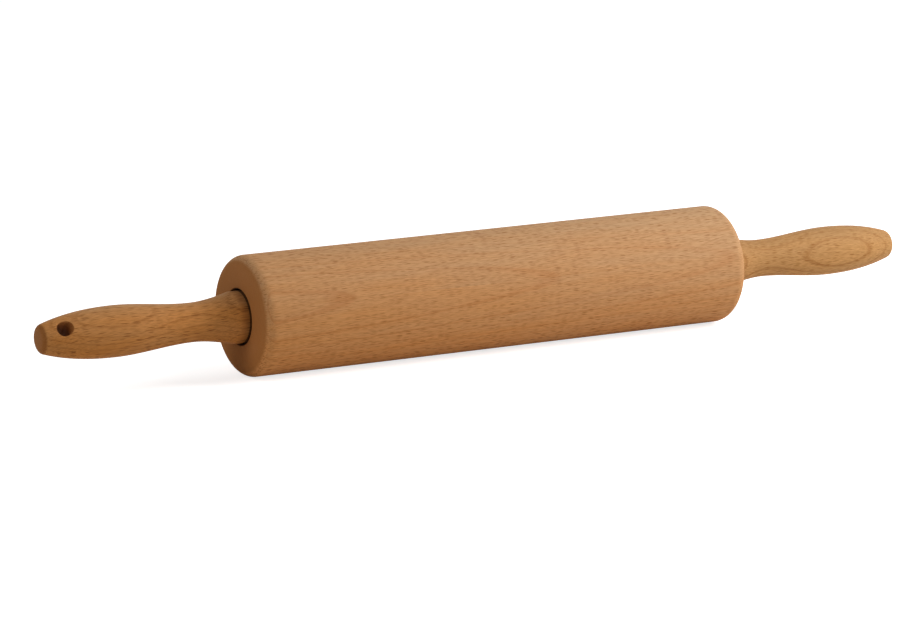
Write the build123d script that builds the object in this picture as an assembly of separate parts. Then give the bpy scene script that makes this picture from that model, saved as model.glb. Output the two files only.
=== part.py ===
from build123d import *
import math
import os

# A revolving rolling pin. A turned beech roller spins on a steel axle, on a small ball bearing
# let into each of its ends, between two turned beech handles that stay still in the hands.
# X runs along the axle and the handle with the hanging hole points to -X. Z is up, the origin
# is the middle of the axle, and every size is in millimetres.

# Roller
roller_length = 254.0
roller_diameter = 55.0
roller_end_round = 5.5
recess_margin = 1.7  # the recess's wall stands this far outside the bearing
recess_lip_round = 0.8
bore_gap = 0.67  # from the circlip's ears to the wall of the long bore

# Handles
handle_length = 97.8  # from the roller's end face to the tip
collar_insertion = 4.0  # how far the collar reaches into the recess
collar_gap = 0.9  # from the collar to the recess's wall, all round
collar_land = 3.9  # straight part of the collar outside the roller
collar_edge = 0.6
neck_diameter = 17.7
grip_diameter = 23.05
tip_diameter = 12.3
tip_round = 2.8
neck_place_share = 0.243  # of the handle's length, from the roller
grip_place_share = 0.629
flare_angle = 14.0  # degrees that the outline leaves the collar at
tip_angle = 19.0  # degrees that the outline meets the tip at
hole_diameter = 7.0
hole_from_tip = 9.9
hole_lean = 38.0  # degrees above the level, towards -Y
hole_rim_round = 0.6

# Axle
axle_diameter = 8.0
axle_end_chamfer = 0.6
socket_depth = 45.0  # the handle's blind bore, from the collar's end
socket_end_gap = 2.0
glue_gap = 0.05
glue_ring_count = 4
glue_ring_width = 1.2
glue_ring_depth = 0.3
glue_ring_step = 5.0
glue_ring_from_end = 6.0

# Washer between the handle's collar and the bearing's inner ring
washer_thickness = 1.6
washer_gap = 0.2  # from the axle
washer_margin = 0.5  # the washer's edge stays this far inside the inner ring's edge

# Ball bearing
bearing_outer_diameter = 22.0
seat_gap = 0.01
ring_chamfer = 0.3
ball_count = 7
ball_share = 0.567  # of the room between the axle and the bearing's outside
ball_gap = 0.05
groove_share = 0.25  # of a ball's diameter that each ring's groove takes in
shield_inset = 0.2
shield_thickness = 0.3
shield_rebate = 0.9  # depth of the step in the outer ring that the shield sits in
shield_gap = 0.25
cage_end_gap = 0.3
cage_web = 0.65
cage_side_gap = 0.35
pocket_gap = 0.065
crown_share = 0.5  # of a pocket's radius that the cage reaches past the ball's middle

# Circlip
circlip_thickness = 0.8
circlip_band = 1.4
circlip_split = 1.8
groove_depth = 0.2
groove_play = 0.1
ear_width = 2.2
ear_reach = 3.2  # from the groove's floor
ear_hole_diameter = 1.2

overrun = 1.0  # how far a cutting tool runs past the face that it enters by

# Sizes of the bearing that follow from its bore and outside
pitch_radius = (axle_diameter + bearing_outer_diameter) / 4
ball_diameter = (bearing_outer_diameter - axle_diameter) / 2 * ball_share
ball_radius = ball_diameter / 2
race_radius = ball_radius + ball_gap
pocket_radius = ball_radius + pocket_gap
cage_half = pocket_radius + cage_web
bearing_width = 2 * (cage_half + cage_end_gap + shield_thickness + shield_inset)
land_offset = ball_diameter * (0.5 - groove_share)
inner_land = pitch_radius - land_offset
outer_land = pitch_radius + land_offset
shield_seat = outer_land + shield_rebate

# Places along the axle, on the +X side
roller_end = roller_length / 2
handle_end = roller_end + handle_length
collar_end = roller_end - collar_insertion
bearing_front = collar_end - washer_thickness
bearing_middle = bearing_front - bearing_width / 2
bearing_back = bearing_front - bearing_width
socket_end = collar_end + socket_depth
axle_end = socket_end - socket_end_gap
front_step = bearing_front - shield_inset - shield_thickness
back_step = bearing_back + shield_inset + shield_thickness

# Sizes of the circlip, and the bores that follow from what they hold
circlip_inner_radius = axle_diameter / 2 - groove_depth
ear_height = circlip_inner_radius + ear_reach - ear_width / 2
ear_side = (circlip_split + ear_width) / 2
circlip_reach = math.hypot(ear_side, ear_height) + ear_width / 2
bore_diameter = 2 * (circlip_reach + bore_gap)
recess_diameter = bearing_outer_diameter + 2 * recess_margin
collar_diameter = recess_diameter - 2 * collar_gap


def bar(diameter, start, end):
    """A round bar along the axle, from one place to another."""
    from_start = (Align.CENTER, Align.CENTER, Align.MIN)
    upright = Cylinder(diameter / 2, end - start, align=from_start)
    return Pos(start, 0, 0) * Rot(0, 90, 0) * upright


def tube(outer, inner, start, end):
    """A bar with a round bore right through it."""
    return bar(outer, start, end) - bar(inner, start - overrun, end + overrun)


def circles_at(solid, place, radius):
    """The round edges of a turned piece that lie at one place on the axle, with one radius."""
    near = overrun / 1000

    def wanted(edge):
        off_place = abs(edge.center(CenterOf.BOUNDING_BOX).X - place)
        return off_place < near and abs(edge.radius - radius) < near

    return solid.edges().filter_by(GeomType.CIRCLE).filter_by(wanted)


def both_sides(piece):
    """A piece of the +X side and its mirror image on the -X side."""
    return {"right": piece, "left": mirror(piece, about=Plane.YZ)}


def roller():
    """The beech cylinder, bored through, with a bearing seat and a wider recess at each end."""
    body = bar(roller_diameter, -roller_end, roller_end)
    for end in (-roller_end, roller_end):
        body = fillet(circles_at(body, end, roller_diameter / 2), roller_end_round)
    body -= bar(bore_diameter, -roller_end - overrun, roller_end + overrun)
    recess = bar(recess_diameter, bearing_front, roller_end + overrun)
    seat = bar(bearing_outer_diameter + 2 * seat_gap, bearing_back, roller_end)
    for cutter in both_sides(recess + seat).values():
        body -= cutter
    for end in (-roller_end, roller_end):
        body = fillet(circles_at(body, end, recess_diameter / 2), recess_lip_round)
    return body


def handle():
    """A turned handle: collar, waisted neck, swelling grip and a taper to a flat rounded tip."""
    collar = collar_diameter / 2
    land_end = roller_end + collar_land
    neck = (roller_end + handle_length * neck_place_share, neck_diameter / 2)
    grip = (roller_end + handle_length * grip_place_share, grip_diameter / 2)
    tip = (handle_end, tip_diameter / 2)
    flare = Vector(1, 0).rotate(Axis.Z, -flare_angle)
    taper = Vector(1, 0).rotate(Axis.Z, -tip_angle)
    level = Vector(1, 0)
    outline = Polyline((land_end, collar), (collar_end, collar), (collar_end, 0), (handle_end, 0), tip)
    outline += Spline((land_end, collar), neck, grip, tip, tangents=(flare, level, level, taper))
    body = revolve(make_face(outline), Axis.X)
    body = fillet(circles_at(body, handle_end, tip_diameter / 2), tip_round)
    body = chamfer(circles_at(body, collar_end, collar), collar_edge)
    return body - bar(axle_diameter + 2 * glue_gap, collar_end - overrun, socket_end)


def hanging_hole(body):
    """The -X handle, drilled across near its tip for a peg or a cord."""
    place = hole_from_tip - handle_end
    drill = Cylinder(hole_diameter / 2, grip_diameter + overrun)
    drilled = body - Pos(place, 0, 0) * Rot(90 - hole_lean, 0, 0) * drill

    def on_a_rim(edge):
        drawn = edge.geom_type not in (GeomType.CIRCLE, GeomType.LINE)
        return drawn and abs(edge.center().X - place) < hole_diameter

    return fillet(drilled.edges().filter_by(on_a_rim), hole_rim_round)


def axle():
    """The steel rod, with a groove for each circlip and rings that key the glue in the sockets."""
    rod = bar(axle_diameter, -axle_end, axle_end)
    for end in (-axle_end, axle_end):
        rod = chamfer(circles_at(rod, end, axle_diameter / 2), axle_end_chamfer)
    clip_back = bearing_back - circlip_thickness
    clip_floor = axle_diameter - 2 * groove_depth
    cuts = tube(axle_diameter + overrun, clip_floor, clip_back, bearing_back + groove_play)
    ring_floor = axle_diameter - 2 * glue_ring_depth
    for ring in range(glue_ring_count):
        ring_end = axle_end - glue_ring_from_end - ring * glue_ring_step
        cuts += tube(axle_diameter + overrun, ring_floor, ring_end - glue_ring_width, ring_end)
    for cutter in both_sides(cuts).values():
        rod -= cutter
    return rod


def washer():
    """The flat ring that holds the collar off the bearing's outer ring and shield."""
    outer = 2 * (inner_land - washer_margin)
    return tube(outer, axle_diameter + 2 * washer_gap, bearing_front, collar_end)


def race():
    """The ring-shaped groove that the balls run in, shared by both bearing rings."""
    return Pos(bearing_middle, 0, 0) * Rot(0, 90, 0) * Torus(pitch_radius, race_radius)


def outer_ring():
    """The bearing's outer ring, seated in the roller, stepped at each face for a shield."""
    ring = tube(bearing_outer_diameter, 2 * outer_land, bearing_back, bearing_front)
    for end in (bearing_back, bearing_front):
        ring = chamfer(circles_at(ring, end, bearing_outer_diameter / 2), ring_chamfer)
    ring -= bar(2 * shield_seat, front_step, bearing_front + overrun)
    ring -= bar(2 * shield_seat, bearing_back - overrun, back_step)
    return ring - race()


def inner_ring():
    """The bearing's inner ring, held on the axle between the washer and the circlip."""
    bore = axle_diameter + 2 * seat_gap
    ring = tube(2 * inner_land, bore, bearing_back, bearing_front)
    for end in (bearing_back, bearing_front):
        ring = chamfer(circles_at(ring, end, bore / 2), ring_chamfer)
    return ring - race()


def shield(start):
    """A thin steel disc that closes one side of the bearing, sat on its step in the outer ring."""
    outer, inner = shield_seat - seat_gap, inner_land + shield_gap
    return tube(2 * outer, 2 * inner, start, start + shield_thickness)


def ball_places():
    """Where the balls' centres lie, evenly round the axle."""
    for number in range(ball_count):
        angle = number * 360 / ball_count
        yield Rot(angle, 0, 0) * Pos(bearing_middle, 0, pitch_radius)


def balls():
    """The bearing's ring of steel balls, one solid each."""
    return Compound([place * Sphere(ball_radius).solid() for place in ball_places()])


def ball_cage():
    """The moulded crown that spaces the balls, with pockets open towards the handle."""
    back = bearing_middle - cage_half
    front = bearing_middle + pocket_radius * crown_share
    crown = tube(2 * (outer_land - cage_side_gap), 2 * (inner_land + cage_side_gap), back, front)
    for place in ball_places():
        crown -= place * Sphere(pocket_radius)
    return crown


def circlip():
    """The open spring ring in the axle's groove, with two eared ends for the pliers."""
    band = Circle(circlip_inner_radius + circlip_band)
    for side in (-ear_side, ear_side):
        band += Pos(side, ear_height / 2) * Rectangle(ear_width, ear_height)
        band += Pos(side, ear_height) * Circle(ear_width / 2)
    for side in (-ear_side, ear_side):
        band -= Pos(side, ear_height) * Circle(ear_hole_diameter / 2)
    split_height = circlip_reach + overrun
    band -= Pos(0, split_height / 2) * Rectangle(circlip_split, split_height)
    band -= Circle(circlip_inner_radius)
    facing_the_bearing = Plane.YZ.offset(bearing_back - circlip_thickness)
    return extrude(facing_the_bearing * band, circlip_thickness)


def pieces():
    """Every piece of the rolling pin by name, in its place."""
    made = {"roller": roller(), "axle_rod": axle()}
    handles = both_sides(handle())
    made["handle_right"] = handles["right"]
    made["handle_left"] = hanging_hole(handles["left"])
    paired = {
        "washer": washer(),
        "bearing_outer_ring": outer_ring(),
        "bearing_inner_ring": inner_ring(),
        "bearing_shield_front": shield(front_step),
        "bearing_shield_back": shield(back_step - shield_thickness),
        "ball_cage": ball_cage(),
        "balls": balls(),
        "circlip": circlip(),
    }
    for name, piece in paired.items():
        for side, placed in both_sides(piece).items():
            made[f"{name}_{side}"] = placed
    return made


os.makedirs("parts", exist_ok=True)
for name, piece in pieces().items():
    export_step(piece, f"parts/{name}.step")
    print(f"{name}: {piece.volume / 1000:.3f} cm3")
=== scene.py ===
# %% [markdown]
# A revolving rolling pin, dressed in Blender round a fixed frame of solids.
#
# On the real object a thick beech roller spins on a steel axle between two still beech handles.
# The solids already hold every size and every fit, so this lesson doesn't place anything by eye:
# it loads the solids, asks them where they are, and makes the surfaces that a cook would see.
# We work in metres, with X along the axle and Z up. Sizes are written in millimetres times MM.

# %% Load the frame
import math

import bmesh
import bpy
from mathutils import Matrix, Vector
from mathutils.geometry import interpolate_bezier


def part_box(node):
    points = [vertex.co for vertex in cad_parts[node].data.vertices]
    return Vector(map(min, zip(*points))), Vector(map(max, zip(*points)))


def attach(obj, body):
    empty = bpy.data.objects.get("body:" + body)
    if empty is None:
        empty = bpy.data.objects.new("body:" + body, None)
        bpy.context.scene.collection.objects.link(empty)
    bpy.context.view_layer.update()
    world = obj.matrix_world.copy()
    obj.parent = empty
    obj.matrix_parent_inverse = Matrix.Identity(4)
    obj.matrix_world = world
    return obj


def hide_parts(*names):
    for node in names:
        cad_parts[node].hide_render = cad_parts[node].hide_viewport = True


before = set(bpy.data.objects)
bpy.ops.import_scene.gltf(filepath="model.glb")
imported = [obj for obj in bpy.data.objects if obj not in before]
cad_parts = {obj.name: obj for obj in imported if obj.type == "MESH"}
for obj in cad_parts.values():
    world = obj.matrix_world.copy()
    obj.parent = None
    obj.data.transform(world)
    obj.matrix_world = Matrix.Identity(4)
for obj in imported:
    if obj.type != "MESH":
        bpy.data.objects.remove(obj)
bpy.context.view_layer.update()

MM = 0.001
SIDES = ("left", "right")
scene = bpy.context.scene

# %% [markdown]
# The camera. A photographer would stand about two metres away with a long lens, a little above the
# table and a little to the left, so the far handle looks hardly smaller than the near one.
# A camera could be tried by hand until the picture fits. Here its place, its two turns and its lens
# were worked out together from the outline of the pin, and are written down as plain numbers.

# %% Camera
CAMERA_PLACE = (-1003.5 * MM, -1736.4 * MM, 406.6 * MM)
CAMERA_TURN = 29.632  # degrees from straight along +Y, towards +X
CAMERA_DROP = 11.731  # degrees below the horizon
CAMERA_LENS = 175.92  # for a sensor 36 mm wide

camera_data = bpy.data.cameras.new("camera")
camera_data.sensor_width = 36.0
camera_data.lens = CAMERA_LENS
camera = bpy.data.objects.new("camera", camera_data)
camera.location = CAMERA_PLACE
camera.rotation_euler = (math.radians(90 - CAMERA_DROP), 0, math.radians(-CAMERA_TURN))
scene.collection.objects.link(camera)
scene.camera = camera
scene.view_settings.view_transform = "Standard"
print("camera lens:", camera_data.lens)

# %% [markdown]
# Three helpers for every material. Colours are easiest to judge as the hex values of a paint program,
# but shaders add up light, so one function turns them into linear light. One adds a node to a tree,
# sets what it is told and makes its links: an input that is given another node's socket is linked,
# and any other input is a plain value. One starts a material, with its main shader in place.

# %% Helpers for colours and nodes


def colour(hex_text):
    """Linear red, green, blue and alpha of an sRGB hex colour such as #c2946a."""
    channels = [int(hex_text[place:place + 2], 16) / 255 for place in (1, 3, 5)]
    linear = [c / 12.92 if c <= 0.04045 else ((c + 0.055) / 1.055) ** 2.4 for c in channels]
    return (*linear, 1.0)


def add_node(tree, kind, inputs=None, **settings):
    """One new node in the tree, with its settings, its plain values and its links."""
    node = tree.nodes.new(kind)
    for name, value in settings.items():
        setattr(node, name, value)
    for socket, value in (inputs or {}).items():
        if isinstance(value, bpy.types.NodeSocket):
            tree.links.new(value, node.inputs[socket])
        else:
            node.inputs[socket].default_value = value
    return node


def new_material(name):
    """An empty material, its tree and its main shader, already joined to the output."""
    material = bpy.data.materials.new(name)
    material.use_nodes = True
    tree = material.node_tree
    tree.nodes.clear()
    shader = add_node(tree, "ShaderNodeBsdfPrincipled")
    add_node(tree, "ShaderNodeOutputMaterial", {"Surface": shader.outputs["BSDF"]})
    return material, tree, shader


print("white is", colour("#ffffff"))

# %% [markdown]
# The table and the light. The pin lies on its roller, so the table top is as high as the roller's
# lowest line. A white table could be lit until it burns out, but that would also bleach the wood.
# So the table has a pale colour, and a little of its own light that only the camera and
# reflections see lifts it to white, while the pin's soft shadow stays on it. The world round it is
# done the same way: pure white to look at, and much fainter as a light.

# %% Table top
FLOOR_REACH = 6.0
FLOOR_COLOUR = "#e8e8e8"
FLOOR_LIFT = 0.75


def seen_share(tree):
    """1 for what the camera sees, straight or by way of metal or glass, and 0 for all other light."""
    path = add_node(tree, "ShaderNodeLightPath")
    total = path.outputs["Is Camera Ray"]
    for ray in ("Is Glossy Ray", "Is Transmission Ray"):
        both = add_node(tree, "ShaderNodeMath", {0: total, 1: path.outputs[ray]}, operation="ADD",
                        use_clamp=True)
        total = both.outputs[0]
    return total


floor_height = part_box("roller")[0].z
floor_mesh = bmesh.new()
bmesh.ops.create_grid(floor_mesh, x_segments=1, y_segments=1, size=FLOOR_REACH)
bmesh.ops.translate(floor_mesh, verts=floor_mesh.verts, vec=(0, 0, floor_height))
floor_data = bpy.data.meshes.new("table_top")
floor_mesh.to_mesh(floor_data)
floor_mesh.free()
floor = bpy.data.objects.new("table_top", floor_data)
scene.collection.objects.link(floor)

floor_paint, tree, shader = new_material("matt_white_table")
lift = add_node(tree, "ShaderNodeMath", {0: seen_share(tree), 1: FLOOR_LIFT}, operation="MULTIPLY")
shader.inputs["Base Color"].default_value = colour(FLOOR_COLOUR)
shader.inputs["Roughness"].default_value = 0.9
shader.inputs["Specular IOR Level"].default_value = 0.0
shader.inputs["Emission Color"].default_value = colour("#ffffff")
tree.links.new(lift.outputs[0], shader.inputs["Emission Strength"])
floor_data.materials.append(floor_paint)
print("table top at", round(floor_height / MM, 2), "mm")

# %% World
WORLD_LIGHT = 0.24

world = bpy.data.worlds.new("white_room")
scene.world = world
world.use_nodes = True
tree = world.node_tree
tree.nodes.clear()
strength = add_node(tree, "ShaderNodeMapRange",
                    {"Value": seen_share(tree), "To Min": WORLD_LIGHT, "To Max": 1.0})
background = add_node(tree, "ShaderNodeBackground",
                      {"Color": colour("#ffffff"), "Strength": strength.outputs[0]})
add_node(tree, "ShaderNodeOutputWorld", {"Surface": background.outputs[0]})
print("world light:", WORLD_LIGHT)

# %% [markdown]
# Softboxes. The pin is brightest towards its far right end, and its left end face is in shade. So two
# softboxes stand near on the right, one low in front and one above, and their light falls off along
# the pin. A third hangs far off on the left and keeps the rounded end and its face from going dark.

# %% Softboxes


def softbox(name, place, aim, size, power):
    """A square area lamp at a place, turned to face the point that it is aimed at."""
    lamp_data = bpy.data.lights.new(name, "AREA")
    lamp_data.shape = "SQUARE"
    lamp_data.size = size
    lamp_data.energy = power
    lamp = bpy.data.objects.new(name, lamp_data)
    lamp.location = place
    lamp.rotation_euler = (Vector(aim) - Vector(place)).to_track_quat("-Z", "Y").to_euler()
    scene.collection.objects.link(lamp)


softbox("softbox_front_right", place=(0.6, -0.4, 0.42), aim=(0.05, 0, 0), size=0.45, power=4.6)
softbox("softbox_above_right", place=(0.55, -0.15, 0.85), aim=(0.05, 0, 0), size=0.6, power=2.5)
softbox("softbox_far_left", place=(-1.6, 0, 1.2), aim=(0, 0, 0), size=0.8, power=7.0)

# %% [markdown]
# Beech, turned on a lathe and sanded. A tree lays down one ring a year round its pith, so a turned
# piece shows wherever its round surface cuts those rings: long lines, pointed arches or an eye.
# A picture of grain could be wrapped round the piece, but it would slide over the ends.
# So the wood is a solid pattern: we ask how far each point is from the pith of its own log, which
# gives the rings, and how far round and along it is, which gives the rays. Beech's rays are thin
# upright plates that point at the pith. Cut across they are short dark dashes, its best known mark.
#
# Real sizes guide the pattern. A year of beech is 2 to 4 mm thick, and the roller shows years of
# 3.6 mm and the handles years of 2.3 mm. A ray is 1 to 4 mm long but only 0.1 mm wide, and a fibre
# is 0.02 mm wide. A pixel of our picture is half a millimetre, so both are drawn about 0.3 mm wide,
# as coarse as they need to be to show.

# %% Log coordinates
SWAY_LENGTH = 60.0  # mm along the log, from one bend of its rings to the next
SWAY_WIDTH = 18.0
SURFACE_OUT = 10.0  # mm from the axle, where distances round the pith are true


def away_from_x(tree, parts):
    """How far a point lies from its X axis, given its three parts."""
    across = add_node(tree, "ShaderNodeCombineXYZ", {1: parts.outputs["Y"], 2: parts.outputs["Z"]})
    away = add_node(tree, "ShaderNodeVectorMath", {0: across.outputs[0]}, operation="LENGTH")
    return away.outputs["Value"]


def log_places(tree, log):
    """Where a point lies in its log, in millimetres: from the pith, round it, along it and sideways.

    The log's facing is the direction, in degrees above -Y, that looks straight at or away from the
    pith. The pith lies behind the axle by its pith length, and leans by its tilt along +X. The rings
    of a real trunk aren't perfect circles, so a slow noise moves each point by up to half its sway.
    """
    surface = add_node(tree, "ShaderNodeTexCoord")
    place = add_node(tree, "ShaderNodeMapping", {"Vector": surface.outputs["Object"]})
    place.inputs["Scale"].default_value = (1 / MM, 1 / MM, 1 / MM)
    roll, lean = math.radians(log["facing"] - 90), math.radians(log["tilt"])
    place.inputs["Rotation"].default_value = (roll, lean, 0)
    place.inputs["Location"].default_value = (0, 0, log["pith"])
    slow = add_node(tree, "ShaderNodeVectorMath",
                    {0: place.outputs[0], 1: (1 / SWAY_LENGTH, 1 / SWAY_WIDTH, 1 / SWAY_WIDTH)},
                    operation="MULTIPLY")
    noise = add_node(tree, "ShaderNodeTexNoise", {"Vector": slow.outputs[0], "Scale": 1.0, "Detail": 3.0})
    centred = add_node(tree, "ShaderNodeVectorMath", {0: noise.outputs["Color"], 1: (0.5, 0.5, 0.5)},
                       operation="SUBTRACT")
    swayed = add_node(tree, "ShaderNodeVectorMath",
                      {0: centred.outputs[0], 1: (0, log["sway"], log["sway"]), 2: place.outputs[0]},
                      operation="MULTIPLY_ADD")
    parts = add_node(tree, "ShaderNodeSeparateXYZ", {0: swayed.outputs[0]})
    turn = add_node(tree, "ShaderNodeMath", {0: parts.outputs["Y"], 1: parts.outputs["Z"]},
                    operation="ARCTAN2")
    round_it = add_node(tree, "ShaderNodeMath", {0: turn.outputs[0], 1: abs(log["pith"]) + SURFACE_OUT},
                        operation="MULTIPLY")
    return {"radius": away_from_x(tree, parts), "round": round_it.outputs[0],
            "along": parts.outputs["X"], "sideways": parts.outputs["Y"]}


print("rings bend every", SWAY_LENGTH, "mm along the log and every", SWAY_WIDTH, "mm across it")

# %% Rings, rays and fibres
LATE_FULL = 0.97  # share of a year at which its late wood is darkest
DASH_SCATTER = 0.9  # how far dashes stray from an even grid
DASH_EDGE = 0.5  # cells from a dash's middle to where it ends
DASH_CORE = 0.2


def stretched(tree, places, length, width, depth):
    """The log's places in cells of a length along it, a width round the pith and a depth to it."""
    cells = add_node(tree, "ShaderNodeCombineXYZ",
                     {0: places["along"], 1: places["round"], 2: places["radius"]})
    cells = add_node(tree, "ShaderNodeVectorMath",
                     {0: cells.outputs[0], 1: (1 / length, 1 / width, 1 / depth)}, operation="MULTIPLY")
    return cells.outputs[0]


def fibre_streaks(tree, places, length, width):
    """A soft value round 0.5 that changes fast across the grain and slowly along it."""
    cells = stretched(tree, places, length, width, width)
    streaks = add_node(tree, "ShaderNodeTexNoise", {"Vector": cells, "Scale": 1.0, "Detail": 1.0})
    return streaks.outputs["Fac"]


def ring_shade(tree, places, fibres, ring):
    """0 in the light early wood of each year, rising late in the year to 1 at its sharp edge."""
    ragged = add_node(tree, "ShaderNodeMath", {0: fibres, 1: ring["ragged"], 2: places["radius"]},
                      operation="MULTIPLY_ADD")
    years = add_node(tree, "ShaderNodeMath",
                     {0: ragged.outputs[0], 1: ring["edge"] + ring["ragged"] / 2}, operation="SUBTRACT")
    years = add_node(tree, "ShaderNodeMath", {0: years.outputs[0], 1: ring["width"]}, operation="DIVIDE")
    season = add_node(tree, "ShaderNodeMath", {0: years.outputs[0]}, operation="FRACT")
    late = add_node(tree, "ShaderNodeMapRange",
                    {"Value": season.outputs[0], "From Min": ring["start"], "From Max": LATE_FULL},
                    interpolation_type="SMOOTHERSTEP")
    return late.outputs[0]


def ray_dashes(tree, places, ray):
    """1 in the middle of a ray's dash and 0 in the plain wood between. Only a few are that strong."""
    cells = stretched(tree, places, ray["length"], ray["width"], ray["reach"])
    spots = add_node(tree, "ShaderNodeTexVoronoi",
                     {"Vector": cells, "Scale": 1.0, "Randomness": DASH_SCATTER})
    dash = add_node(tree, "ShaderNodeMapRange",
                    {"Value": spots.outputs["Distance"], "From Min": DASH_EDGE, "From Max": DASH_CORE},
                    interpolation_type="SMOOTHSTEP")
    chance = add_node(tree, "ShaderNodeSeparateColor", {0: spots.outputs["Color"]})
    chance = add_node(tree, "ShaderNodeMath", {0: chance.outputs[0], 1: ray["rarity"]}, operation="POWER")
    strong = add_node(tree, "ShaderNodeMath", {0: dash.outputs[0], 1: chance.outputs[0]},
                      operation="MULTIPLY")
    return strong.outputs[0]


print("late wood is darkest at", LATE_FULL, "of a year")

# %% [markdown]
# Where a collar turns in the roller's recess, the gap between them lies in shade, and that shade is
# painted into the wood. The eye sees it as the thin dark line round the collar. A black ring could be
# laid in the gap, but here the painted shade is one more layer of the beech's colour, on the wood on
# both sides of the gap. On the collar the painted shade thins out over a few millimetres from the gap.

# %% Painted shade in the recess
GAP_SHADE_ALONG = (127.6 * MM, 127.1 * MM)  # along the axle: where the gap's deep painted shade starts, and is full
GAP_SHADE_OUT = (13.3 * MM, 12.9 * MM)  # from the axle: the end face unshaded, and painted shade within the recess's rim
GAP_SHADE_DEPTH = 0.85
COLLAR_SHADE_END = 132.0 * MM
COLLAR_SHADE_DEPTH = 0.5
# The colour of the painted shade in the gap round the collar.
GAP_SHADE_COLOUR = "#2a1206"


def painted_recess_shade(tree):
    """The share of painted shade at each point: deep where a collar turns in its recess, and 0 elsewhere.
    """
    surface = add_node(tree, "ShaderNodeTexCoord")
    parts = add_node(tree, "ShaderNodeSeparateXYZ", {0: surface.outputs["Object"]})
    along = add_node(tree, "ShaderNodeMath", {0: parts.outputs["X"]}, operation="ABSOLUTE")
    behind_face = add_node(tree, "ShaderNodeMapRange",
                           {"Value": along.outputs[0], "From Min": GAP_SHADE_ALONG[0],
                            "From Max": GAP_SHADE_ALONG[1]})
    within_rim = add_node(tree, "ShaderNodeMapRange",
                          {"Value": away_from_x(tree, parts), "From Min": GAP_SHADE_OUT[0],
                           "From Max": GAP_SHADE_OUT[1], "To Max": GAP_SHADE_DEPTH})
    on_collar = add_node(tree, "ShaderNodeMapRange",
                         {"Value": along.outputs[0], "From Min": COLLAR_SHADE_END,
                          "From Max": GAP_SHADE_ALONG[1], "To Max": COLLAR_SHADE_DEPTH})
    deeper = add_node(tree, "ShaderNodeMath", {0: behind_face.outputs[0], 1: on_collar.outputs[0]},
                      operation="MAXIMUM")
    return add_node(tree, "ShaderNodeMath", {0: deeper.outputs[0], 1: within_rim.outputs[0]},
                    operation="MULTIPLY")


# The reach printed here is that of the painted shade in the recess gap.
print("grime fills the recess out to", round(GAP_SHADE_OUT[1] / MM, 1), "mm from the axle")

# %% [markdown]
# The finish. The roller is bare beech, sanded fine: pinkish tan, dry and almost without shine, with
# rays as short dark dashes. The handles are the same wood turned from smaller stock and oiled, so
# they are more golden and a little smoother. Beech cut across its fibres soaks up more oil and dirt,
# so end faces are darker. The colours go on in layers, from the pale wood to the painted shade in
# the recess gap; a slope of painted shade also warms each piece towards its lower side.
# Wood's IOR is about 1.5, but sanded pores scatter light, so both IOR and specular level come down
# until the glancing sheen is as faint as on the real pin.

# %% The beech material
BAND_LENGTH = 60.0  # mm, slow bands of warmer and paler wood
BAND_WIDTH = 7.0
PALE_RING = 0.2  # how much of a ring's depth is left in the palest wood
FIBRE_START = 0.35  # value of the fibre noise from which a fibre darkens
FIBRE_FULL = 0.7
GLOSS_DRIFT = 0.06  # roughness, up and down from the finish's own
BEECH_IOR = 1.3
PORE_DEPTH = 0.05 * MM


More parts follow.
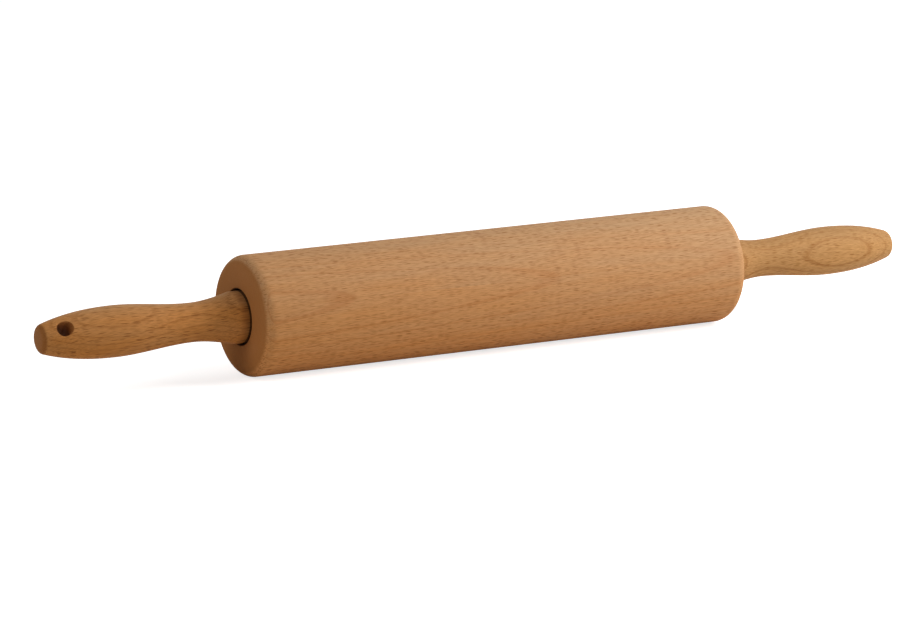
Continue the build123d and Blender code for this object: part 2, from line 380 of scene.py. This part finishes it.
def turned_beech(name, log, ring, colours, tone, fibre, ray, ends, finish):
    """Turned and sanded beech for one piece, cut from its own place in the log, with painted shade."""
    material, tree, shader = new_material(name)
    places = log_places(tree, log)
    fine = fibre_streaks(tree, places, fibre["length"], fibre["width"])
    band = fibre_streaks(tree, places, BAND_LENGTH, BAND_WIDTH)
    late = ring_shade(tree, places, fine, ring)
    dashes = ray_dashes(tree, places, ray)
    # Warmth comes from slow bands of tone in the wood and from a slope across the log, which is painted
    # light and shade: each piece turns warmer towards its lower side, darker and more saturated on the
    # roller and the left handle, lighter on the right handle as if lit from the table below. Along the
    # roller it also warms slightly towards the left end.
    drift_and_shade = add_node(tree, "ShaderNodeCombineXYZ", {0: places["along"], 1: places["sideways"], 2: band})
    drift_and_shade = add_node(tree, "ShaderNodeVectorMath",
                     {0: drift_and_shade.outputs[0], 1: (tone["along"], tone["sideways"], 1)},
                     operation="DOT_PRODUCT")
    warmth_and_shade = add_node(tree, "ShaderNodeMapRange",
                      {"Value": drift_and_shade.outputs["Value"], "From Min": 0.5 + tone["spread"],
                       "From Max": 0.5 - tone["spread"]})
    faded = add_node(tree, "ShaderNodeMapRange",
                     {"Value": warmth_and_shade.outputs[0], "To Min": ring["depth"] * PALE_RING,
                      "To Max": ring["depth"]})
    late = add_node(tree, "ShaderNodeMath", {0: late, 1: faded.outputs[0]}, operation="MULTIPLY")
    streak = add_node(tree, "ShaderNodeMapRange",
                      {"Value": fine, "From Min": FIBRE_START, "From Max": FIBRE_FULL,
                       "To Max": fibre["depth"]})
    dashed = add_node(tree, "ShaderNodeMath", {0: dashes, 1: ray["depth"]}, operation="MULTIPLY")
    surface = add_node(tree, "ShaderNodeTexCoord")
    normal = add_node(tree, "ShaderNodeSeparateXYZ", {0: surface.outputs["Normal"]})
    lengthwise = add_node(tree, "ShaderNodeMath", {0: normal.outputs["X"]}, operation="ABSOLUTE")
    end_grain = add_node(tree, "ShaderNodeMapRange",
                         {"Value": lengthwise.outputs[0], "From Min": ends["from"],
                          "From Max": ends["to"], "To Max": ends["depth"]},
                         interpolation_type="SMOOTHSTEP")
    # The last layer is painted shade in the recess gap round the collar.
    layers = ((warmth_and_shade, colours["warm"]), (late, colours["late"]), (streak, colours["ray"]),
              (dashed, colours["ray"]), (end_grain, colours["end"]), (painted_recess_shade(tree), GAP_SHADE_COLOUR))
    wood = colour(colours["pale"])
    for share, tint in layers:
        mix = add_node(tree, "ShaderNodeMix", {0: share.outputs[0], 6: wood, 7: colour(tint)},
                       data_type="RGBA")
        wood = mix.outputs[2]
    tree.links.new(wood, shader.inputs["Base Color"])
    gloss = add_node(tree, "ShaderNodeMapRange",
                     {"Value": fine, "To Min": finish["roughness"] - GLOSS_DRIFT,
                      "To Max": finish["roughness"] + GLOSS_DRIFT})
    tree.links.new(gloss.outputs[0], shader.inputs["Roughness"])
    shader.inputs["IOR"].default_value = BEECH_IOR
    shader.inputs["Specular IOR Level"].default_value = finish["shine"]
    height = add_node(tree, "ShaderNodeMath", {0: fine, 1: dashes}, operation="SUBTRACT")
    relief = add_node(tree, "ShaderNodeBump",
                      {"Height": height.outputs[0], "Distance": PORE_DEPTH, "Strength": finish["relief"]})
    tree.links.new(relief.outputs[0], shader.inputs["Normal"])
    return material


# Lengths in millimetres and angles in degrees; depths are shares of a layer's colour.
# Each tone's sideways slope is painted shade and light on the lower side; its bands are the wood's own
# tone.
roller_beech = turned_beech(
    "turned_beech_roller",
    log={"facing": 17.4, "pith": -200.0, "tilt": 1.98, "sway": 1.2},
    ring={"width": 3.6, "edge": 173.3, "start": 0.8, "ragged": 0.3, "depth": 0.32},
    colours={"pale": "#c8a178", "warm": "#d79659", "late": "#b0602c", "ray": "#84481e", "end": "#a26836"},
    tone={"along": 0.003, "sideways": 0.03, "spread": 1.0},
    fibre={"length": 9.0, "width": 0.3, "depth": 0.3},
    ray={"length": 4.4, "width": 0.34, "reach": 1.5, "rarity": 0.8, "depth": 0.68},
    ends={"from": 0.68, "to": 0.9, "depth": 0.85},
    finish={"roughness": 0.7, "shine": 0.08, "relief": 0.3})
left_beech = turned_beech(
    "turned_beech_left_handle",
    log={"facing": 58.0, "pith": 18.7, "tilt": 0.6, "sway": 0.8},
    ring={"width": 2.3, "edge": 26.4, "start": 0.7, "ragged": 0.3, "depth": 0.35},
    colours={"pale": "#c59767", "warm": "#cd8641", "late": "#8a4d1f", "ray": "#6b3a14", "end": "#8c5526"},
    tone={"along": 0.0, "sideways": 0.035, "spread": 0.5},
    fibre={"length": 4.0, "width": 0.3, "depth": 0.3},
    ray={"length": 6.0, "width": 0.42, "reach": 1.5, "rarity": 1.1, "depth": 0.75},
    ends={"from": 0.3, "to": 0.75, "depth": 0.8},
    finish={"roughness": 0.6, "shine": 0.12, "relief": 0.3})
right_beech = turned_beech(
    "turned_beech_right_handle",
    log={"facing": 6.4, "pith": 17.5, "tilt": 0.0, "sway": 0.8},
    ring={"width": 2.3, "edge": 27.95, "start": 0.68, "ragged": 0.6, "depth": 0.6},
    colours={"pale": "#b68d5e", "warm": "#d19b5e", "late": "#8a4f22", "ray": "#7c4519", "end": "#ae7c45"},
    tone={"along": 0.0, "sideways": 0.035, "spread": 0.5},
    fibre={"length": 4.0, "width": 0.3, "depth": 0.35},
    ray={"length": 4.2, "width": 0.42, "reach": 1.5, "rarity": 1.2, "depth": 0.68},
    ends={"from": 0.35, "to": 0.75, "depth": 0.4},
    finish={"roughness": 0.6, "shine": 0.12, "relief": 0.3})
print("beech materials:", [m.name for m in bpy.data.materials if "beech" in m.name])

# %% [markdown]
# Turned pieces. On the real pin a lathe makes the roller and both handles, so the natural way to
# model them is the same: draw half of the outline and spin it round the axle.
# Two small helpers draw round corners and long straight runs, one spins the outline, and one makes
# the piece of it, with its material, its body and the solid that it stands for.

# %% Outline helpers
SHARP_ANGLE = 35.0  # degrees between two faces, past which their edge stays crisp


def corner(centre, radius, start, end, steps):
    """Points on a round corner, with its angles in degrees from +X towards the outside."""
    angles = [math.radians(start + (end - start) * step / steps) for step in range(steps + 1)]
    return [(centre[0] + radius * math.cos(angle), centre[1] + radius * math.sin(angle))
            for angle in angles]


def with_even_steps(outline, longest):
    """The same outline with points added, so that no straight run is longer than longest."""
    points = [outline[0]]
    for start, end in zip(outline, outline[1:]):
        parts = max(1, math.ceil(math.dist(start, end) / longest))
        for part in range(1, parts + 1):
            share = part / parts
            points.append((start[0] + (end[0] - start[0]) * share,
                           start[1] + (end[1] - start[1]) * share))
    return points


def spun(outline, steps, direction=(0, 0, 1), closed=False):
    """A bmesh of the outline, in metres along X and out in one direction, spun round the axle."""
    bm = bmesh.new()
    out = Vector(direction).normalized()
    points = [bm.verts.new(Vector((x * MM, 0, 0)) + out * (r * MM)) for x, r in outline]
    pairs = list(zip(points, points[1:]))
    if closed:
        pairs.append((points[-1], points[0]))
    edges = [bm.edges.new(pair) for pair in pairs]
    bmesh.ops.spin(bm, geom=points + edges, cent=(0, 0, 0), axis=(1, 0, 0), angle=math.tau, steps=steps,
                   use_merge=True)
    bmesh.ops.remove_doubles(bm, verts=bm.verts, dist=MM / 1000)
    bmesh.ops.recalc_face_normals(bm, faces=bm.faces)
    return bm


def finished(name, bm, material, body, node):
    """The bmesh as a smooth piece that rides on its body and stands for its CAD node."""
    data = bpy.data.meshes.new(name)
    bm.to_mesh(data)
    bm.free()
    data.materials.append(material)
    data.shade_smooth()
    data.set_sharp_from_angle(angle=math.radians(SHARP_ANGLE))
    piece = bpy.data.objects.new(name, data)
    scene.collection.objects.link(piece)
    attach(piece, body)
    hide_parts(node)
    print(name, "faces:", len(data.polygons))


print("a quarter round of 1 mm in 2 steps:", corner((0, 0), 1, 90, 0, 2))

# %% [markdown]
# The roller. Outside it is a plain cylinder with softly rounded ends. Each end has a recess for the
# handle's collar, a step below that holds the bearing, and a long bore for the axle between them.
# Its length, its diameter and the bearing's place are asked of the frame.

# %% Roller
ROLLER_END_ROUND = 5.5
RECESS_RADIUS = 12.7
RECESS_LIP = 0.8
SEAT_GAP = 0.01
BORE_RADIUS = 8.0
END_ROUND_STEPS = 12
LIP_STEPS = 5
ROLLER_STEPS = 160
LONGEST_ROLLER_RUN = 3.0

roller_low, roller_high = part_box("roller")
roller_end, roller_radius = roller_high.x / MM, roller_high.z / MM
ring_low, ring_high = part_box("bearing_outer_ring_right")
seat_radius = ring_high.z / MM + SEAT_GAP
seat_front, seat_back = ring_high.x / MM, ring_low.x / MM
round_centre = (roller_end - ROLLER_END_ROUND, roller_radius - ROLLER_END_ROUND)
lip_centre = (roller_end - RECESS_LIP, RECESS_RADIUS + RECESS_LIP)

right_half = [(0, roller_radius)]
right_half += corner(round_centre, ROLLER_END_ROUND, 90, 0, END_ROUND_STEPS)
right_half += corner(lip_centre, RECESS_LIP, 0, -90, LIP_STEPS)
right_half += [(seat_front, RECESS_RADIUS), (seat_front, seat_radius), (seat_back, seat_radius)]
right_half += [(seat_back, BORE_RADIUS), (0, BORE_RADIUS)]
left_half = [(-x, r) for x, r in reversed(right_half)]
roller_outline = with_even_steps(right_half + left_half[1:], LONGEST_ROLLER_RUN)[:-1]
roller_mesh = spun(roller_outline, ROLLER_STEPS, closed=True)
finished("beech_roller", roller_mesh, roller_beech, "roller", "roller")

# %% [markdown]
# The handles. A turned handle is a few easy curves: the collar flares down to a neck, swells to fit
# the palm and tapers to a small flat tip. Each curve is one cubic, whose two inner control points lie
# a third of its span from its ends, so only four points and the slope at each have to be chosen.

# %% Handle outline
COLLAR_RADIUS = 11.8
COLLAR_EDGE = 0.6
SOCKET_RADIUS = 4.05
SOCKET_END = 168.0
LAND_END = 130.9
TIP_ROUND = 2.8
TIP_STEPS = 10
CURVE_STEPS = 36
HANDLE_STEPS = 128
LONGEST_HANDLE_RUN = 2.0
# Each knot of the outline: its place along the axle, its radius, and its slope in degrees.
HANDLE_KNOTS = (
    (LAND_END, COLLAR_RADIUS, -14.0),
    (150.765, 8.85, 0.0),
    (188.516, 11.525, 0.0),
    (224.8, 6.15, -19.0),
)


def handle_curve():
    """The handle's outline from the collar's land to the tip, as points in millimetres."""
    points = []
    for (x0, r0, slope0), (x1, r1, slope1) in zip(HANDLE_KNOTS, HANDLE_KNOTS[1:]):
        third = (x1 - x0) / 3
        start, end = Vector((x0, r0, 0)), Vector((x1, r1, 0))
        lead = start + Vector((third, third * math.tan(math.radians(slope0)), 0))
        trail = end - Vector((third, third * math.tan(math.radians(slope1)), 0))
        curve = interpolate_bezier(start, lead, trail, end, CURVE_STEPS + 1)
        points += [(point.x, point.y) for point in curve[:-1]]
    return points + [HANDLE_KNOTS[-1][:2]]


def rounded_tip(points, face, radius):
    """The outline with its last corner rounded: the round leaves the curve and meets the flat tip."""
    for place in range(len(points) - 1, 0, -1):
        run = Vector((points[place][0] - points[place - 1][0], points[place][1] - points[place - 1][1]))
        inward = Vector((run.y, -run.x)).normalized()
        centre = Vector(points[place]) + inward * radius
        if centre.x <= face - radius:
            break
    start = math.degrees(math.atan2(-inward.y, -inward.x))
    return points[:place] + corner(centre, radius, start, 0, TIP_STEPS)


curve = rounded_tip(handle_curve(), HANDLE_KNOTS[-1][0], TIP_ROUND)
collar_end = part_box("handle_right")[0].x / MM
handle_outline = [(SOCKET_END, 0), (SOCKET_END, SOCKET_RADIUS), (collar_end, SOCKET_RADIUS)]
handle_outline += [(collar_end, COLLAR_RADIUS - COLLAR_EDGE), (collar_end + COLLAR_EDGE, COLLAR_RADIUS)]
handle_outline += curve + [(HANDLE_KNOTS[-1][0], 0)]
handle_outline = with_even_steps(handle_outline, LONGEST_HANDLE_RUN)
print("outline points:", len(handle_outline), "tip at", handle_outline[-1])

# %% Right handle
right_mesh = spun(handle_outline, HANDLE_STEPS)
finished("beech_handle_right", right_mesh, right_beech, "handles_and_axle", "handle_right")

# %% [markdown]
# The hanging hole. The left handle is drilled across near its tip and the rims are eased by hand.
# A boolean would cut it in one step, but it leaves thin slivers that a rounded rim can't grow from.
# So we work as a modeller does: open a patch of faces on both sides, draw each opening in ring by
# ring until it is a circle that lies on the curved surface, roll over the rim, and bridge the bore.

# %% Left handle before drilling
HOLE_RADIUS = 3.5
HOLE_PLACE = -214.9
HOLE_LEAN = 38.0  # degrees above the level, towards -Y
HOLE_RIM = 0.6
PATCH_REACH = 6.0  # along the handle, each way from the hole's middle
PATCH_TURN = 37.0  # degrees round the handle, each way

drill = Vector((0, -math.cos(math.radians(HOLE_LEAN)), math.sin(math.radians(HOLE_LEAN))))
side = drill.cross(Vector((1, 0, 0)))
mirrored = [(-x, r) for x, r in handle_outline]
left_mesh = spun(mirrored, HANDLE_STEPS, direction=drill)
print("left handle before drilling, faces:", len(left_mesh.faces))

# %% Open the two patches


def in_patch(face):
    """Whether a face of the handle's outside lies in one of the two patches round the drill's line."""
    middle = face.calc_center_median()
    if abs(middle.x / MM - HOLE_PLACE) > PATCH_REACH:
        return False
    away = Vector((0, middle.y, middle.z)).normalized()
    return abs(away.dot(drill)) > math.cos(math.radians(PATCH_TURN))


patch = [face for face in left_mesh.faces if in_patch(face)]
bmesh.ops.delete(left_mesh, geom=patch, context="FACES")
rims = [edge for edge in left_mesh.edges if edge.is_boundary]
print("patch faces:", len(patch), "rim edges:", len(rims))

# %% Draw the openings in to the bore
OPENING_SHARES = (0.66, 0.33, 0.0)  # of the way from the mouth out to the edge of the patch
RIM_SHARES = (0.2, 0.4, 0.6, 0.8, 1.0)  # of the way over the eased rim, from the mouth into the bore


def surface_radius(place):
    """The handle's radius at a place along it, in millimetres, from the outline's outside."""
    for (x0, r0), (x1, r1) in zip(curve, curve[1:]):
        if x0 <= place <= x1:
            return r0 + (r1 - r0) * (place - x0) / (x1 - x0)


def on_surface(turn, reach, top):
    """The point of the handle's surface at a turn and a reach from the drill's line."""
    along, across = reach * math.cos(turn), reach * math.sin(turn)
    height = math.sqrt(surface_radius(abs(HOLE_PLACE + along)) ** 2 - across ** 2)
    return along, across, top * height


def rim_points(vert):
    """The places that a rim vertex passes through on its way in: circle, eased rim and bore."""
    along, across = vert.co.x / MM - HOLE_PLACE, vert.co.dot(side) / MM
    top = 1 if vert.co.dot(drill) > 0 else -1
    turn, reach = math.atan2(across, along), math.hypot(along, across)
    mouth = HOLE_RADIUS + HOLE_RIM
    places = [on_surface(turn, mouth + (reach - mouth) * share, top) for share in OPENING_SHARES]
    start, edge = Vector(places[-1]), Vector(on_surface(turn, HOLE_RADIUS, top))
    end = edge - Vector((0, 0, top * HOLE_RIM))
    places += [(1 - t) ** 2 * start + 2 * t * (1 - t) * edge + t ** 2 * end for t in RIM_SHARES]
    return [Vector((HOLE_PLACE * MM + a * MM, 0, 0)) + side * (s * MM) + drill * (h * MM)
            for a, s, h in places]


paths = {vert: rim_points(vert) for edge in rims for vert in edge.verts}
for ring in range(len(OPENING_SHARES) + len(RIM_SHARES)):
    made = bmesh.ops.extrude_edge_only(left_mesh, edges=rims)["geom"]
    fresh = [vert for vert in made if isinstance(vert, bmesh.types.BMVert)]
    inward = {}
    for vert in fresh:
        source = next(e.other_vert(vert) for e in vert.link_edges if e.other_vert(vert) in paths)
        inward[vert] = paths[source]
    for vert, path_in in inward.items():
        vert.co = path_in[ring]
    paths = inward
    rims = [edge for edge in made if isinstance(edge, bmesh.types.BMEdge)]
bmesh.ops.bridge_loops(left_mesh, edges=rims)
bmesh.ops.recalc_face_normals(left_mesh, faces=left_mesh.faces)
open_edges = sum(edge.is_boundary for edge in left_mesh.edges)
print("open edges after bridging:", open_edges)

# %% Left handle
finished("beech_handle_left", left_mesh, left_beech, "handles_and_axle", "handle_left")

# %% [markdown]
# The hidden metal. Inside each end a small ball bearing carries the roller. Its rings and balls are
# ground and polished, its shields pressed from thin sheet, the washers zinc plated, the circlips
# blackened spring steel and the axle a drawn rod. All are steel, so one recipe serves them: a metal
# whose fine marks run the way its tool ran, with its own colour, roughness and depth of mark.

# %% Steel
LONG_MARK = 0.4  # steps of noise per radian round the axle, so that a mark runs far round
ROD_MARK = 25 * MM  # how far a mark runs along drawn rod
AXLE_RADIUS = 4 * MM
STEEL_GLOSS_DRIFT = 0.3  # share of the roughness, up and down
STEEL_MARKS = (0.3, 0.7)  # values of the noise, from the deepest marks to clear metal
STEEL_SHADE = 0.85  # share of its light that steel keeps in the deepest marks
STEEL_RELIEF = 0.01 * MM


def tooled_steel(name, tint, roughness, mark, along_axle=False):
    """Steel with marks so many mm apart: rings round the axle, or lines along it on drawn rod."""
    material, tree, shader = new_material(name)
    surface = add_node(tree, "ShaderNodeTexCoord")
    parts = add_node(tree, "ShaderNodeSeparateXYZ", {0: surface.outputs["Object"]})
    turn = add_node(tree, "ShaderNodeMath", {0: parts.outputs["Y"], 1: parts.outputs["Z"]},
                    operation="ARCTAN2")
    places = add_node(tree, "ShaderNodeCombineXYZ",
                      {0: parts.outputs["X"], 1: away_from_x(tree, parts), 2: turn.outputs[0]})
    fine = 1 / (mark * MM)
    scales = (fine, fine, LONG_MARK)
    if along_axle:
        scales = (1 / ROD_MARK, LONG_MARK / MM, AXLE_RADIUS * fine)
    marks = add_node(tree, "ShaderNodeVectorMath", {0: places.outputs[0], 1: scales},
                     operation="MULTIPLY")
    noise = add_node(tree, "ShaderNodeTexNoise",
                     {"Vector": marks.outputs[0], "Scale": 1.0, "Detail": 3.0})
    gloss = add_node(tree, "ShaderNodeMapRange",
                     {"Value": noise.outputs["Fac"], "To Min": roughness * (1 - STEEL_GLOSS_DRIFT),
                      "To Max": roughness * (1 + STEEL_GLOSS_DRIFT)})
    shade = add_node(tree, "ShaderNodeMapRange",
                     {"Value": noise.outputs["Fac"], "From Min": STEEL_MARKS[0],
                      "From Max": STEEL_MARKS[1], "To Min": STEEL_SHADE})
    metal = add_node(tree, "ShaderNodeMix", {0: 1.0, 6: colour(tint), 7: shade.outputs[0]},
                     data_type="RGBA", blend_type="MULTIPLY")
    relief = add_node(tree, "ShaderNodeBump",
                      {"Height": noise.outputs["Fac"], "Distance": STEEL_RELIEF, "Strength": 0.5})
    shader.inputs["Metallic"].default_value = 1.0
    tree.links.new(metal.outputs[2], shader.inputs["Base Color"])
    tree.links.new(gloss.outputs[0], shader.inputs["Roughness"])
    tree.links.new(relief.outputs[0], shader.inputs["Normal"])
    return material


steels = {
    "bearing_outer_ring": tooled_steel("ground_bearing_steel", "#c9cace", roughness=0.18, mark=0.05),
    "bearing_shield_front": tooled_steel("pressed_steel_sheet", "#b3b5b8", roughness=0.32, mark=0.12),
    "washer": tooled_steel("zinc_plated_steel", "#c4c8cc", roughness=0.38, mark=0.2),
    "circlip": tooled_steel("phosphated_spring_steel", "#3b3b3f", roughness=0.55, mark=0.15),
}
steels["bearing_inner_ring"] = steels["bearing_outer_ring"]
steels["balls"] = tooled_steel("polished_ball_steel", "#d3d4d8", roughness=0.08, mark=0.3)
steels["bearing_shield_back"] = steels["bearing_shield_front"]
for kind, steel in steels.items():
    for hand in SIDES:
        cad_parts[f"{kind}_{hand}"].material_slots[0].material = steel
rod_steel = tooled_steel("drawn_steel_rod", "#b9bbbe", roughness=0.3, mark=0.12, along_axle=True)
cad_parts["axle_rod"].material_slots[0].material = rod_steel
print("steels:", sorted({steel.name for steel in steels.values()}))

# %% [markdown]
# The ball cage. It is moulded in natural nylon, an off-white plastic that lets a little light in, so
# its shader scatters light below the skin. The mould leaves a fine even grain on it.

# %% Ball cages
MOULD_GRAIN = 0.4 * MM  # its coarsest bumps; the noise's detail adds finer ones
NYLON_CLOUD = 4 * MM

cage_nylon, tree, shader = new_material("moulded_nylon")
surface = add_node(tree, "ShaderNodeTexCoord")
grain = add_node(tree, "ShaderNodeTexNoise",
                 {"Vector": surface.outputs["Object"], "Scale": 1 / MOULD_GRAIN, "Detail": 3.0})
cloud = add_node(tree, "ShaderNodeTexNoise",
                 {"Vector": surface.outputs["Object"], "Scale": 1 / NYLON_CLOUD})
tone = add_node(tree, "ShaderNodeMix",
                {0: cloud.outputs["Fac"], 6: colour("#e6e0cf"), 7: colour("#d9d0b8")}, data_type="RGBA")
relief = add_node(tree, "ShaderNodeBump",
                  {"Height": grain.outputs["Fac"], "Distance": 0.02 * MM, "Strength": 0.4})
tree.links.new(tone.outputs[2], shader.inputs["Base Color"])
tree.links.new(relief.outputs[0], shader.inputs["Normal"])
shader.inputs["Roughness"].default_value = 0.45
shader.inputs["IOR"].default_value = 1.53
shader.inputs["Subsurface Weight"].default_value = 0.2
shader.inputs["Subsurface Radius"].default_value = (0.8 * MM, 0.6 * MM, 0.4 * MM)
shader.inputs["Subsurface Scale"].default_value = 1.0
for hand in SIDES:
    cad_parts[f"ball_cage_{hand}"].material_slots[0].material = cage_nylon
print("cages:", [f"ball_cage_{hand}" for hand in SIDES])
